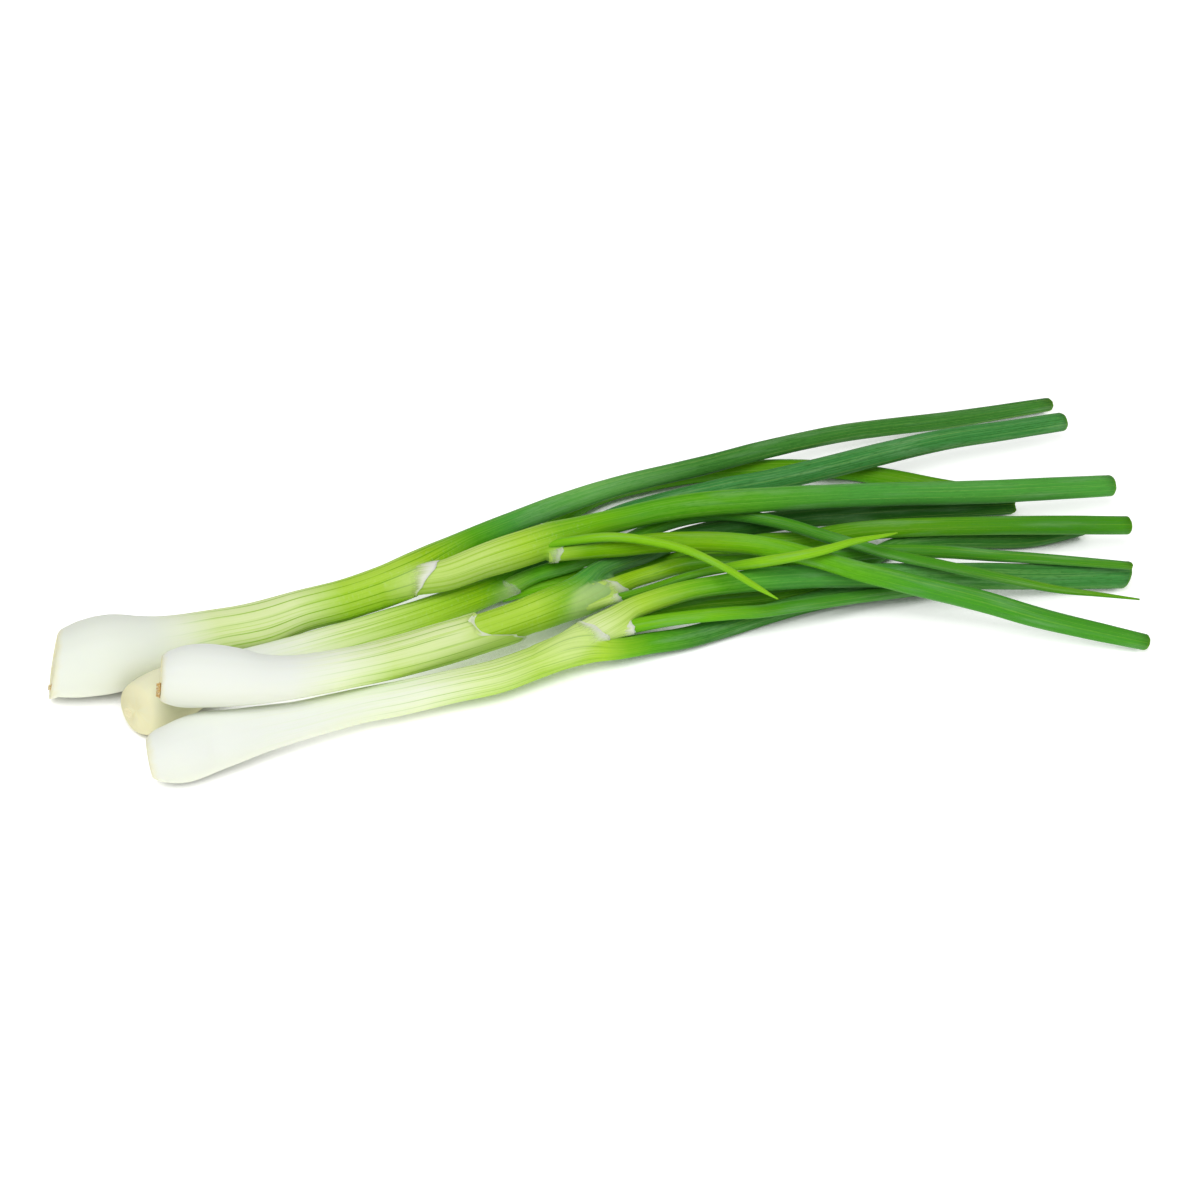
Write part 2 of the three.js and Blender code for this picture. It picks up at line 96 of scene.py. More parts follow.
# A leaf's stations are (x, y, z, half width). flat is thickness over width and roll its turn.
# split is the station where the sheath ends and the blade starts, and last is the end of a skin
# that is shorter than the stations. mouth is where the sheath's rim ends, in stations of the next
# leaf. lean is how far the rim runs on at one side and the turn of that side, and veil is how
# white it is. flap is how pale the skin is that wraps the next leaf. cut is how far a cut tip
# runs on and where, and rag how uneven its edge is. trim is the slant of the root end, dish how
# deep its middle lies and flare how far its lower lip turns out. plate is the root plate's size,
# depth, place off the middle, share of root stubs and stain. veins are their first and last
# station and their strength. tints are (station, tone).
ONIONS = {
    "back": [
        dict(
            flat=0.8, roll=30, split=12, last=19.967, mouth=1.45, lean=(4.2, 19), veil=0.8,
            trim=(0.24, 0.16), dish=1.0, flare=0.16, plate=(0.13, 0.18, 0.8, 0.3, 0.6),
            slot="sheath", nodes=("back_sheath_1", "back_blade_1"), veins=(3.2, 11.8, 1.0),
            tints=((0, "ivory"), (3.2, "ivory"), (4, "milk"), (5, "pale"), (6.8, "pale"),
                   (8, "spring"), (9.5, "spring"), (10.4, "yellow"), (11.2, "grass"), (12, "leaf"),
                   (13, "fern"), (14.5, "dew"), (16, "deep"), (20, "deep")),
            stations=[
                (-155.5, 6, 10.2, 9.2), (-148, 5.5, 10.4, 10.8), (-139.5, 5.5, 10.8, 11.3),
                (-130.5, 5, 10.4, 10.1), (-121, 6, 10, 8.2), (-109.5, 8, 9.2, 7.2),
                (-96.5, 9, 8.8, 6.9), (-84.5, 11, 9.6, 6.2), (-71.5, 11, 11.2, 6),
                (-59.5, 12, 12.8, 6.1), (-50, 14, 14, 6.3), (-41, 18.5, 14.6, 5),
                (-31, 24, 14.4, 3.7), (-18.5, 29.5, 13.4, 3.4), (-1.5, 36, 12.2, 3.3),
                (18, 41.5, 11.2, 3), (44.5, 46, 9.8, 3), (68, 51, 8.2, 2.9), (95, 55.5, 5.8, 2.8),
                (126.5, 56.5, 3.4, 2.7), (161, 57.5, 2.2, 2.2),
            ],
        ),
        dict(
            flat=0.8, roll=30, split=8, last=15.963, mouth=0.4, lean=(1.2, 20), veil=0.3,
            slot="blade_mid", nodes=("back_sheath_2", "back_blade_2"), veins=(0, 7, 0.8),
            tints=((0, "lime"), (3, "lime"), (4.2, "spring"), (5.4, "grass"), (6.8, "bright"),
                   (8.5, "leaf"), (10.2, "leaf"), (12.5, "fern"), (16, "fern")),
            stations=[
                (-60, 10, 13.6, 4), (-51.5, 9.5, 15.2, 4.4), (-42.5, 9, 15.6, 4.6),
                (-31.5, 11.6, 15.9, 5), (-21, 13.9, 16, 5.3), (-10.5, 16.2, 16, 5.2),
                (-2, 17.8, 16, 4.4), (6, 19.5, 15.9, 3.7), (14, 20.5, 15.8, 3.6),
                (25, 21, 16.2, 3.7), (38.5, 20.5, 16.2, 3.8), (54.5, 19, 15.5, 3.8),
                (72.5, 17.5, 14.2, 3.7), (95, 15, 12.5, 3.6), (114.5, 12, 11.3, 3.6),
                (135.5, 9.5, 10, 3.6), (161, 7, 8.4, 3.3),
            ],
        ),
        dict(
            flat=0.8, roll=40, last=10.962, slot="blade_mid", nodes=("back_blade_3",),
            tints=((0, "spring"), (1.2, "olive"), (4, "olive"), (5, "bright"), (7, "leaf"),
                   (8, "jade"), (11, "jade")),
            stations=[
                (-11.5, 10.5, 15, 1.9), (-2.5, 9.5, 15.4, 2.3), (9, 8, 15.8, 2.8),
                (20.5, 6.5, 16.3, 3), (34.5, 2.5, 16.9, 3), (47.5, -3.5, 17.4, 3),
                (60, -12, 17.4, 2.8), (72, -21, 16.6, 2.9), (87.5, -29, 14.2, 3.1),
                (104.5, -37, 11, 3.2), (122, -45.5, 7, 3), (147.4, -56.7, 2.5, 2.4),
            ],
        ),
        dict(
            flat=0.9, roll=0, pointed=True, slot="blade_young", nodes=("back_blade_4",),
            tints=((0, "bright"), (2, "apple"), (4, "apple"), (7, "apple")),
            stations=[
                (-13.5, 12.6, 17.2, 1.2), (-4.5, 11.2, 18.6, 1.4), (6, 7.5, 20.6, 1.5),
                (16, 2, 21.4, 1.4), (25.5, -5, 21.4, 1.3), (34, -14.5, 20.6, 1.1),
                (40.5, -22.5, 19, 0.9), (45.5, -28, 17.6, 0.2),
            ],
        ),
    ],
    "under": [
        dict(
            flat=0.8, roll=20, split=10, mouth=2.0, lean=(2.5, 200), veil=0.12, slot="sheath",
            trim=(-0.1, 0.21), dish=-3.4, flare=0.0, plate=(0.24, -2.75, 0.0, 0.0, 0.1),
            nodes=("under_sheath_1", "under_blade_1"), veins=(4, 9.6, 0.8),
            # From station 9 the shank darkens to deep green before its blade starts. This is
            # painted shadow of the onions that lie over it.
            tints=((0, "straw"), (2.4, "straw"), (3, "white"), (4, "white"), (5, "milk"),
                   (5.8, "pale"), (6.6, "lime"), (7.4, "spring"), (8.4, "yellow"), (9, "moss"),
                   (10, "deep"), (12, "sea"), (20, "sea")),
            stations=[
                (-136, -17, 8.1, 7.5), (-131.5, -15.5, 8, 8.3), (-125, -12.5, 7.8, 8.2),
                (-115.5, -8.5, 7.1, 6.4), (-102, -4, 5.8, 5.2), (-87, -1, 5.2, 4.9),
                (-70, 1.5, 5.2, 5), (-54, 4.5, 5.2, 4.9), (-40, 8, 5.2, 4.6), (-27, 12.5, 5, 3.9),
                (-16.5, 20, 4.8, 3.6), (-3.5, 28, 4.8, 3.4), (10, 33, 4.8, 3.4), (23, 36.5, 5, 3.4),
                (47.5, 38.5, 5.6, 3.6), (63.5, 37.5, 6.8, 3.6), (82.5, 37, 8.8, 3.6),
                (101, 38.5, 9.4, 3.6), (120.5, 40.5, 9, 3.4), (141, 41, 8.2, 3.2),
                (157.7, 41.5, 7.6, 3.1),
            ],
        ),
        dict(
            flat=0.85, roll=0, pointed=True, slot="blade_young",
            nodes=("under_sheath_2", "under_blade_2"), veins=(0, 2, 0.5),
            tints=((0, "lime"), (3, "leaf"), (8, "pine"), (13, "pine"), (15, "moss"), (16, "moss")),
            stations=[
                (-41, 7.5, 4.8, 2.7), (-32.5, 9.5, 5, 3), (-23.5, 11, 5.6, 2.9),
                (-15, 13, 6.6, 2.6), (-2.5, 14, 8, 2.6), (10, 17, 9, 2.2), (23.5, 21.5, 9.6, 2.2),
                (36, 23.2, 9.9, 2.3), (47, 21, 10, 2.1), (59.5, 12, 11.2, 2), (70, 0, 13, 2),
                (84.5, -13.5, 14.2, 1.8), (96, -21, 14, 1.7), (107.5, -28, 13.4, 1.7),
                (125, -36.5, 11.2, 1.3), (137.5, -40.5, 9.6, 0.8), (149, -44.5, 8.4, 0.3),
            ],
        ),
        dict(
            flat=0.8, roll=0, slot="blade_mid", nodes=("under_blade_3",),
            tints=((0, "leaf"), (3, "moss"), (10, "moss")),
            stations=[
                (-24.5, 18, 2.5, 2), (-15.5, 27.5, 2.2, 2.6), (-5, 37.5, 2.2, 2.8),
                (10.5, 48, 2.2, 3), (27, 51.5, 2.2, 3), (46, 52, 2.2, 3.1), (67.5, 49, 2.2, 3.1),
                (86.5, 43, 2.2, 3.1), (99.5, 36, 2.2, 3.1), (114, 27, 2.2, 3), (130, 18, 2.2, 2.7),
            ],
        ),
        dict(
            flat=0.8, roll=20, slot="blade_mid", nodes=("under_blade_4",),
            tints=((0, "bright"), (6, "moss"), (8, "moss"), (10, "pine"), (11, "pine")),
            stations=[
                (-25.5, 11, 2.7, 2), (-15.5, 12, 2.7, 2.4), (-1.5, 13, 2.7, 2.8),
                (17, 13.5, 2.7, 2.6), (35, 13, 3, 2.8), (52.5, 12.9, 3.9, 3.3),
                (64.5, 10.5, 4.6, 3), (79.5, 9, 6, 3), (94, 5.5, 7.2, 3), (110.5, 0.5, 8.4, 2.9),
                (136.5, -7, 9.2, 3), (157.6, -12.8, 9.2, 2.9),
            ],
        ),
    ],
    "top": [
        dict(
            flat=1, roll=0, torn=True, slot="sheath", last=9.0,
            trim=(-0.12, 0.21), dish=1.2, flare=0.04, plate=(0.34, -0.25, 0.58, 1.0, 1.0),
            nodes=("top_sheath_1",), veins=(4.6, 10.4, 0.8),
            tints=((0, "white"), (4.6, "white"), (5.6, "milk"), (6.6, "pale"), (8.4, "pale"),
                   (9.4, "lime"), (10, "lime")),
            stations=[
                (-129, -24, 24.4, 6.5), (-124, -25.5, 24.8, 8.3), (-117.5, -26.5, 24.6, 8.8),
                (-110, -28, 23.8, 8.1), (-102, -29, 22.1, 6.9), (-91, -28, 19.7, 6),
                (-75, -24.5, 16.8, 5.8), (-62, -20.5, 14.2, 6), (-50, -16.5, 12.2, 6.2),
                (-37, -12.5, 10.8, 6.1), (-25, -9.5, 10.2, 6.1),
            ],
        ),
        dict(
            flat=0.8, roll=30, split=6, rag=1.0, mouth=3.4, lean=(2.6, 199), veil=0.45, flap=0.4,
            slot="blade_dark", nodes=("top_sheath_2", "top_blade_2"), veins=(0, 6.8, 0.9),
            tints=((0, "lime"), (1.6, "lime"), (3, "spring"), (4.4, "spring"), (5.4, "grass"),
                   (6.4, "fern"), (7.4, "deep"), (8.6, "night"), (16, "night")),
            stations=[
                (-66.5, -21.5, 15, 4.7), (-57.5, -19, 13.3, 5), (-48, -16, 12, 5.2),
                (-37, -12.5, 10.8, 5.2), (-25, -9, 10.2, 5.3), (-15, -6, 10.4, 5.4),
                (-6.5, -2, 10.6, 4.6), (1.5, 5, 10.4, 3.1), (9, 8.5, 9.8, 2.8),
                (17.5, 11.5, 8.8, 2.8), (27, 16.8, 7.2, 3), (37, 20.8, 5.3, 2.9),
                (50, 21.6, 4.5, 3.3), (68, 21, 4.2, 3), (89, 18.5, 3.6, 3), (110, 15.5, 3.2, 3),
                (131, 12, 3, 2.7),
            ],
        ),
        dict(
            flat=0.8, roll=30, split=4, mouth=0.6, lean=(0.6, 200), veil=0.3, slot="blade_young",
            nodes=("top_sheath_3", "top_blade_3"), veins=(0, 3, 0.5),
            tints=((0, "lime"), (2.6, "lime"), (3.6, "yellow"), (4.8, "yellow"), (6, "moss"),
                   (9, "pine"), (14, "pine")),
            stations=[
                (-21.5, -8, 9.2, 3.6), (-13.5, -7, 9.8, 4), (-5, -6, 10.4, 4.1),
                (2.5, -4, 10.6, 3.4), (9.5, -1, 10.4, 2.6), (17.5, 1, 10, 2.5), (28.5, 3, 9.6, 2.6),
                (41, 1.2, 9, 2.6), (55.5, -1, 8.6, 2.5), (70, -2.9, 8.4, 2.3), (86, -5, 8.4, 2.1),
                (101, -9.5, 8.6, 2), (115.5, -16.5, 9.5, 1.8), (130.5, -22.5, 9.7, 1.6),
                (151, -30.5, 9.4, 1.2),
            ],
        ),
        dict(
            flat=0.9, roll=0, pointed=True, slot="blade_young", nodes=("top_blade_4",),
            tints=((0, "moss"), (2.6, "moss"), (4, "apple"), (9, "apple")),
            stations=[
                (-6, -8.5, 10.6, 1.3), (11, -7, 10.8, 1.3), (25.5, -5, 11.8, 1.3),
                (36, -7, 14.3, 1.5), (46, -11.5, 18, 1.7), (54.5, -15, 21, 1.6),
                (63, -16, 22.4, 1.4), (72, -15, 22.8, 1.1), (81.5, -14.5, 22.6, 0.6),
                (85.5, -14, 22.4, 0.2),
            ],
        ),
    ],
    "front": [
        dict(
            flat=0.8, roll=10, split=14, mouth=2.2, lean=(2.8, 194), veil=0.5, slot="sheath",
            trim=(0.1, -0.07), dish=0.8, flare=0.0, plate=(0.35, 0.8, 0.0, 0.3, 0.4),
            nodes=("front_sheath_1", "front_blade_1"), veins=(6.5, 14, 0.7),
            tints=((0, "white"), (6, "white"), (8.4, "milk"), (9.6, "pale"), (11, "lime"),
                   (12.4, "lime"), (13.4, "spring"), (14.2, "grass"), (15, "leaf"), (16.4, "deep"),
                   (21, "deep")),
            stations=[
                (-135.5, -37, 7.8, 6.2), (-132, -37, 8, 7.7), (-126.5, -37, 8.3, 8.8),
                (-120, -35.5, 8.4, 8.7), (-112.5, -35.5, 9, 7.6), (-104, -34, 8.5, 6.6),
                (-93, -32.5, 7.8, 5.6), (-76.5, -30, 7, 5), (-64.5, -29.5, 6.8, 4.9),
                (-49, -28.5, 6.8, 4.8), (-37, -28, 7, 4.8), (-26, -25.5, 7.2, 4.8),
                (-16.5, -23, 7.2, 4.8), (-8, -22.5, 6.6, 4.3), (0.5, -23, 5.2, 3.5),
                (9.5, -22, 4.2, 3.4), (20.5, -21, 3, 3.4), (33, -19, 2.6, 3.3),
                (45.5, -16.5, 2.4, 3.2), (59.5, -14.5, 2.3, 3.1), (75.5, -14, 2.2, 2.9),
                (95, -15, 2.1, 2.7),
            ],
        ),
        dict(
            flat=0.68, roll=35, split=5, mouth=1.0, lean=(0.8, 150), veil=0.55, cut=(1.8, 60),
            slot="blade_mid", nodes=("front_sheath_2", "front_blade_2"), veins=(0, 5, 0.45),
            tints=((0, "pale"), (2, "pale"), (3.2, "lime"), (4.4, "spring"), (6, "grass"),
                   (7, "leaf"), (8.5, "fern"), (10, "fern"), (11.4, "deep"), (14, "sea")),
            stations=[
                (-24, -25.5, 8.2, 3.5), (-16, -24, 9.2, 4.1), (-7.5, -20.5, 10.2, 4.4),
                (0, -17.5, 10.8, 4), (6.5, -14, 11, 3.3), (14, -12, 11.2, 3.1),
                (23.5, -10.5, 11.3, 3), (34, -10.4, 11.2, 3), (45.5, -10.6, 10.8, 3.5),
                (60.5, -12.1, 10, 3.5), (76, -15, 9.2, 3.7), (92, -18, 8.2, 3.9),
                (109.5, -20.5, 6.4, 4), (130.5, -24.5, 4.8, 3.9), (151.5, -28, 3.8, 4.1),
            ],
        ),
        dict(
            flat=0.8, roll=0, slot="blade_mid", nodes=("front_blade_3",),
            tints=((0, "lime"), (1, "bright"), (2.6, "bright"), (4.6, "pine"), (8, "deep")),
            stations=[
                (-7, -20.5, 9.2, 2.1), (4.5, -19, 9, 2.4), (18, -19, 9, 2.2), (34, -20.5, 8.8, 2.2),
                (43, -21.5, 8.4, 2.2), (55.5, -21, 7.6, 2.2), (73, -20, 6, 2.1),
                (87, -19.5, 4.6, 2), (99.5, -19, 3.4, 1.9),
            ],
        ),
        dict(
            flat=0.8, roll=0, slot="blade_dark", nodes=("front_blade_4",),
            tints=((0, "bright"), (3.4, "moss"), (6, "pine"), (8, "deep"), (10, "night")),
            stations=[
                (-5.5, -13.5, 6.4, 2), (4, -11, 5, 2.2), (15, -9, 4.2, 2.3), (28.5, -8, 3.4, 2.4),
                (46.5, -9, 2.4, 2.5), (61.5, -8.5, 2.1, 2.6), (77.5, -2.5, 2.1, 2.7),
                (92, 3.6, 2.2, 2.9), (106.5, 2.8, 2.3, 3), (130, -3, 2.3, 3.1),
                (147.5, -2.2, 2.3, 3),
            ],
        ),
    ],
}

# The torn edge of the top onion's outer sheath: how far it runs on at each turn round it.
TORN_EDGE = ((49, -0.2), (90, -4.4), (136, -4.6), (146, -2.4), (160, 3.2), (176, 8.2), (194, 11.8),
             (212, 10.4), (229, 7.6), (262, 2), (300, -2), (409, -0.2))


def linear(code):
    """A hex code as linear red, green and blue."""
    shares = [int(code[i : i + 2], 16) / 255 for i in (1, 3, 5)]
    return tuple(s / 12.92 if s <= 0.04045 else ((s + 0.055) / 1.055) ** 2.4 for s in shares)


def smooth(low, high, value):
    """0 below low, 1 above high, and a smooth rise between them."""
    share = min(max((value - low) / (high - low), 0.0), 1.0)
    return share * share * (3 - 2 * share)


def through(keys, value):
    """A smooth path through (place, height) keys."""
    for (a, start), (b, end) in zip(keys, keys[1:]):
        if value <= b:
            return start + (end - start) * smooth(a, b, value)
    return keys[-1][1]


class Line:
    """A leaf's middle line, half width and cross-section, by station."""

    def __init__(self, leaf):
        self.leaf = leaf
        x0, y0 = MIDDLE
        self.points = [Vector((x - x0, y - y0, z, half)) for x, y, z, half in leaf["stations"]]
        self.last = len(self.points) - 1
        self.sections = {}
        self.steps = 12
        places = [self.at(i / self.steps).to_3d() for i in range(self.last * self.steps + 1)]
        self.lengths = [0.0]
        for a, b in zip(places, places[1:]):
            self.lengths.append(self.lengths[-1] + (b - a).length)

    def at(self, station):
        """Place and half width at a station, on a curve through all of them."""
        p = self.points
        i = min(int(max(station, 0)), self.last - 1)
        w = min(max(station, 0), self.last) - i
        before = p[i - 1] if i else 2 * p[0] - p[1]
        after = p[i + 2] if i + 2 <= self.last else 2 * p[-1] - p[-2]
        return 0.5 * (
            2 * p[i]
            + (p[i + 1] - before) * w
            + (2 * before - 5 * p[i] + 4 * p[i + 1] - after) * w**2
            + (3 * p[i] - before - 3 * p[i + 1] + after) * w**3
        )

    def distance(self, station):
        """Millimetres along the leaf from its start."""
        place = min(max(station, 0), self.last) * self.steps
        i = min(int(place), len(self.lengths) - 2)
        return self.lengths[i] + (self.lengths[i + 1] - self.lengths[i]) * (place - i)

    def flatness(self, station):
        """Thickness over width: a sheath is round and turns flat where its blade starts."""
        split = self.leaf.get("split")
        if split is None:
            return self.leaf["flat"]
        return 1 - (1 - self.leaf["flat"]) * smooth(split - 1.5, split + 0.5, station)

    def section(self, station):
        """Centre, side axis, up axis, tangent, half width and half thickness at a station."""
        key = round(station, 4)
        if key not in self.sections:
            here = self.at(station)
            step = 1e-3
            tangent = (self.at(station + step) - self.at(station - step)).to_3d().normalized()
            side = Vector((0, 0, 1)).cross(tangent).normalized()
            side.rotate(Matrix.Rotation(math.radians(self.leaf["roll"]), 3, tangent))
            up = tangent.cross(side)
            half = here[3] * SKIN
            thick = half * self.flatness(station)
            self.sections[key] = here.to_3d(), side, up, tangent, half, thick
        return self.sections[key]


class Value:
    """A number or colour in a material's node tree. Python expressions on it add Math nodes."""

    def __init__(self, paint, socket):
        self.paint, self.socket = paint, socket

    def __add__(self, other):
        return self.paint.maths("ADD", self, other)

    def __sub__(self, other):
        return self.paint.maths("SUBTRACT", self, other)

    def __rsub__(self, other):
        return self.paint.maths("SUBTRACT", other, self)

    def __mul__(self, other):
        return self.paint.maths("MULTIPLY", self, other)

    def __truediv__(self, other):
        return self.paint.maths("DIVIDE", self, other)

    __radd__ = __add__
    __rmul__ = __mul__


class Paint:
    """A material under construction."""

    def __init__(self, name):
        self.material = bpy.data.materials.new(name)
        self.material.use_nodes = True
        self.tree = self.material.node_tree
        self.tree.nodes.clear()
        self.tones = bpy.context.scene.onion_tones

    def node(self, kind, settings, inputs, output=0):
        """One node: its settings first, then the values or links of its sockets."""
        made = self.tree.nodes.new(kind)
        for key, value in settings.items():
            if key == "stops":
                self.fill_ramp(made.color_ramp, value)
            else:
                setattr(made, key, value)
        for key, value in inputs.items():
            if isinstance(value, Value):
                self.tree.links.new(value.socket, made.inputs[key])
            else:
                made.inputs[key].default_value = value
        return Value(self, made.outputs[output]) if made.outputs else made

    def fill_ramp(self, ramp, stops):
        while len(ramp.elements) < len(stops):
            ramp.elements.new(0.5)
        for element, (place, tone) in zip(ramp.elements, stops):
            element.position = place
            element.color = self.tone(tone)

    def tone(self, name):
        return (*getattr(self.tones, name), 1)

    def maths(self, operation, *values):
        return self.node("ShaderNodeMath", {"operation": operation}, dict(enumerate(values)))

    def band(self, value, low, high, start=0.0, end=1.0):
        """A smooth change from start to end while value goes from low to high."""
        sockets = {"Value": value, "From Min": low, "From Max": high}
        sockets.update({"To Min": start, "To Max": end})
        return self.node("ShaderNodeMapRange", {"interpolation_type": "SMOOTHSTEP"}, sockets)

    def mix(self, factor, a, b):
        """A colour between a and b, which are tones or values."""
        a, b = [c if isinstance(c, Value) else self.tone(c) for c in (a, b)]
        sockets = {0: factor, 6: a, 7: b}
        return self.node("ShaderNodeMix", {"data_type": "RGBA"}, sockets, 2)

    def ramp(self, value, stops):
        return self.node("ShaderNodeValToRGB", {"stops": stops}, {"Fac": value})

    def noise(self, vector, scale, detail=2.0):
        sockets = {"Vector": vector, "Scale": scale, "Detail": detail}
        return self.node("ShaderNodeTexNoise", {}, sockets)

    def attribute(self, name):
        return self.node("ShaderNodeAttribute", {"attribute_name": name}, {}, 2)

    def tube(self, seed):
        """The turn round a leaf from 0 to 1, the distance along it in millimetres, the cosine
        from straight down, and a maker of noises on its skin."""
        uv = self.node("ShaderNodeUVMap", {"uv_map": "leaf"}, {})
        around = self.node("ShaderNodeSeparateXYZ", {}, {"Vector": uv}, 0)
        along = self.node("ShaderNodeSeparateXYZ", {}, {"Vector": uv}, 1) * (1 / MM)
        angle = around * (2 * math.pi)
        down, across = self.maths("COSINE", angle), self.maths("SINE", angle)

        def skin(fine, stretch, scale=1.0, detail=2.0):
            place = {"X": down * fine, "Y": across * fine, "Z": along * stretch + seed}
            vector = self.node("ShaderNodeCombineXYZ", {}, place)
            return self.noise(vector, scale, detail)

        return around, along, down, skin

    def finish(self, colour, roughness, bump=None, alpha=1.0, **constants):
        """The surface: what varies is linked, and the constants are set on the shader."""
        sockets = {"Base Color": colour, "Roughness": roughness, "Alpha": alpha}
        sockets.update({key.replace("_", " "): value for key, value in constants.items()})
        if bump is not None:
            height = {"Height": bump, "Strength": 0.4, "Distance": 0.0002}
            sockets["Normal"] = self.node("ShaderNodeBump", {}, height)
        surface = self.node("ShaderNodeBsdfPrincipled", {}, sockets)
        self.node("ShaderNodeOutputMaterial", {}, {"Surface": surface})
        return self.material


def leaf_paint(name, line, sizes, seed):
    """Colour, veins and fine lines of one leaf, from its root end to its tip."""
    leaf = line.leaf
    paint = Paint(name)
    around, along, down, skin = paint.tube(seed)
    length = line.distance(line.last)
    share = along / length
    places = [line.distance(station) / length for station, _ in leaf["tints"]]
    tones = [tone for _, tone in leaf["tints"]]
    base = paint.ramp(share, list(zip(places, tones)))
    # Painted shade: below holds the darker underside tones, low is where the leaf faces down,
    # broken up by patches, and the mix darkens that side towards them.
    below = paint.ramp(share, list(zip(places, [SHADED_UNDERSIDES[tone] for tone in tones])))
    patch = skin(0.8, 0.03, 1.4)
    low = paint.band(down + patch * 0.6, -0.7, 0.8)
    colour = paint.mix(low * 0.75, base, below)

    # Fine lines run along the leaf beyond its bulb.
    lines = skin(8, 0.012, detail=4.0)
    grain = skin(26, 1.3)
    lined = paint.band(along, line.distance(3), line.distance(6)) if "trim" in leaf else 1.0
    colour = paint.mix(paint.band(lines, 0.5, 0.72) * lined * 0.16, colour, "lime")
    colour = paint.mix(paint.band(lines, 0.52, 0.32) * lined * 0.55, colour, below)
    height = lines * lined

    # The green blade has a grey bloom, pale specks and dark streaks.
    if not leaf.get("torn"):
        split = line.distance(leaf["split"]) if "split" in leaf else 6.0
        blade = paint.band(along, split - 12, split + 16)
        colour = paint.mix(paint.band(patch, 0.45, 0.75) * blade * 0.3, colour, "bloom")
        colour = paint.mix(paint.band(grain, 0.66, 0.78) * blade * 0.3, colour, "lime")
        streaks = skin(15, 0.4, detail=3.0)
        colour = paint.mix(paint.band(streaks, 0.5, 0.34) * blade * 0.5, colour, below)

    # Veins run along the sheath. They fade out at both ends and in places, and pale mottles lie
    # between them.
    if "veins" in leaf:
        first, final = [line.distance(station) for station in leaf["veins"][:2]]
        wobble = skin(0.5, 0.02) * 0.4 + skin(1.0, 0.1) * 0.06
        ridge = paint.maths("PINGPONG", around * sizes.vein_count + wobble, 0.5)
        strength = paint.band(along, first, first + 36) * paint.band(along, final + 3, final - 9)
        uneven = skin(2.4, 0.03)
        strength = strength * paint.band(uneven, 0.25, 0.55) * leaf["veins"][2]
        vein = paint.band(ridge, 0.08, 0.02) * strength
        colour = paint.mix(paint.band(ridge, 0.3, 0.0) * strength * 0.2, colour, below)
        green = paint.mix(paint.band(along, first + 20, final), "vein", "moss")
        colour = paint.mix(vein * 0.9, colour, green)
        mottle = paint.band(skin(5, 1.1, detail=3.0), 0.5, 0.75)
        colour = paint.mix(mottle * strength * (1 - vein) * 0.08, colour, "milk")
        height = height * 0.5 + vein * 0.2

    # The skin that wraps the next leaf is paler, and so are the cut end and the inside.
    colour = paint.mix(paint.attribute("wrap") * leaf.get("flap", 0.3), colour, "pale")
    if "trim" in leaf:
        fold = skin(3.2, 0.25, detail=3.0)
        edge = paint.band(along + fold * 2.2, 3.6, 0.6)
        colour = paint.mix(edge * 0.75, colour, "cream")
        cut = paint.mix(paint.band(fold, 0.42, 0.6), "cream", "straw")
        colour = paint.mix(paint.attribute("inner") * 0.9, colour, cut)
    else:
        colour = paint.mix(paint.attribute("inner") * 0.55, colour, "spring")
    if leaf.get("torn"):
        free = paint.band(paint.attribute("edge"), 0.965, 0.99) * paint.band(down, -0.72, -0.5)
        colour = paint.mix(free * 0.85, colour, "milk")
    elif not leaf.get("pointed"):
        colour = paint.mix(paint.band(paint.attribute("edge"), 0.9, 1.0) * 0.45, colour, "bright")
    roughness = paint.band(grain, 0.2, 0.8, 0.36, 0.5)
    soft = 0.08 if "trim" in leaf else 0.05
    return paint.finish(
        colour, roughness, bump=height, Subsurface_Weight=soft, Subsurface_Scale=0.003,
        Subsurface_Radius=(0.8, 1.0, 0.4), Specular_IOR_Level=0.05,
    )


def rim_paint(name, seed, veil):
    """The thin whitish skin at a sheath's mouth. It fades in from the sheath to its free edge."""
    paint = Paint(name)
    _, _, _, skin = paint.tube(seed)
    edge = paint.attribute("edge")
    lines = skin(9, 0.03, detail=3.0)
    colour = paint.mix(paint.band(edge + lines * 0.4, 0.7, 1.2), "pale", "veil")
    alpha = paint.band(edge + lines * 0.5, 0.5, 1.1, 0.0, veil)
    return paint.finish(colour, 0.4, bump=lines, alpha=alpha, Specular_IOR_Level=0.1)


def plate_paint(name, stain):
    """Cream root plate. stain is how much tan and rust it has."""
    paint = Paint(name)
    place = paint.node("ShaderNodeTexCoord", {}, {}, 3)
    spots = paint.noise(place, 700.0, 3.0)
    fine = paint.noise(place, 2600.0, 3.0)
    colour = paint.mix(paint.band(spots, 0.36, 0.58) * stain, "cream", "tan")
    colour = paint.mix(paint.band(fine, 0.48, 0.62) * stain, colour, "rust")
    return paint.finish(colour, paint.band(fine, 0.3, 0.7, 0.55, 0.8), bump=fine)


def floor_paint():
    """A white floor that glows where it is open, with painted shade: its glow dims in the gaps
    under the leaves.
    """
    paint = Paint("floor")
    seen = paint.node("ShaderNodeAmbientOcclusion", {"samples": 6}, {"Distance": 0.03}, 1)
    # The glow follows how open the floor is above it, so the dark in the gaps is painted shade.
    glow = paint.band(seen, 0.18, 0.42)
    return paint.finish((0.7, 0.7, 0.7, 1), 0.9, Emission_Color=glow, Emission_Strength=0.65)


def straight_tube(last, sides, rings):
    """A closed bmesh cylinder of radius 1 whose z runs over the stations from 0 to last."""
    bm = bmesh.new()
    bmesh.ops.create_cone(bm, cap_ends=True, segments=sides, radius1=1, radius2=1, depth=last)
    bmesh.ops.translate(bm, verts=bm.verts, vec=(0, 0, last / 2))
    long_edges = [e for e in bm.edges if abs(e.verts[0].co.z - e.verts[1].co.z) > last / 2]
    bmesh.ops.subdivide_edges(bm, edges=long_edges, cuts=rings - 1, use_grid_fill=True)
    return bm


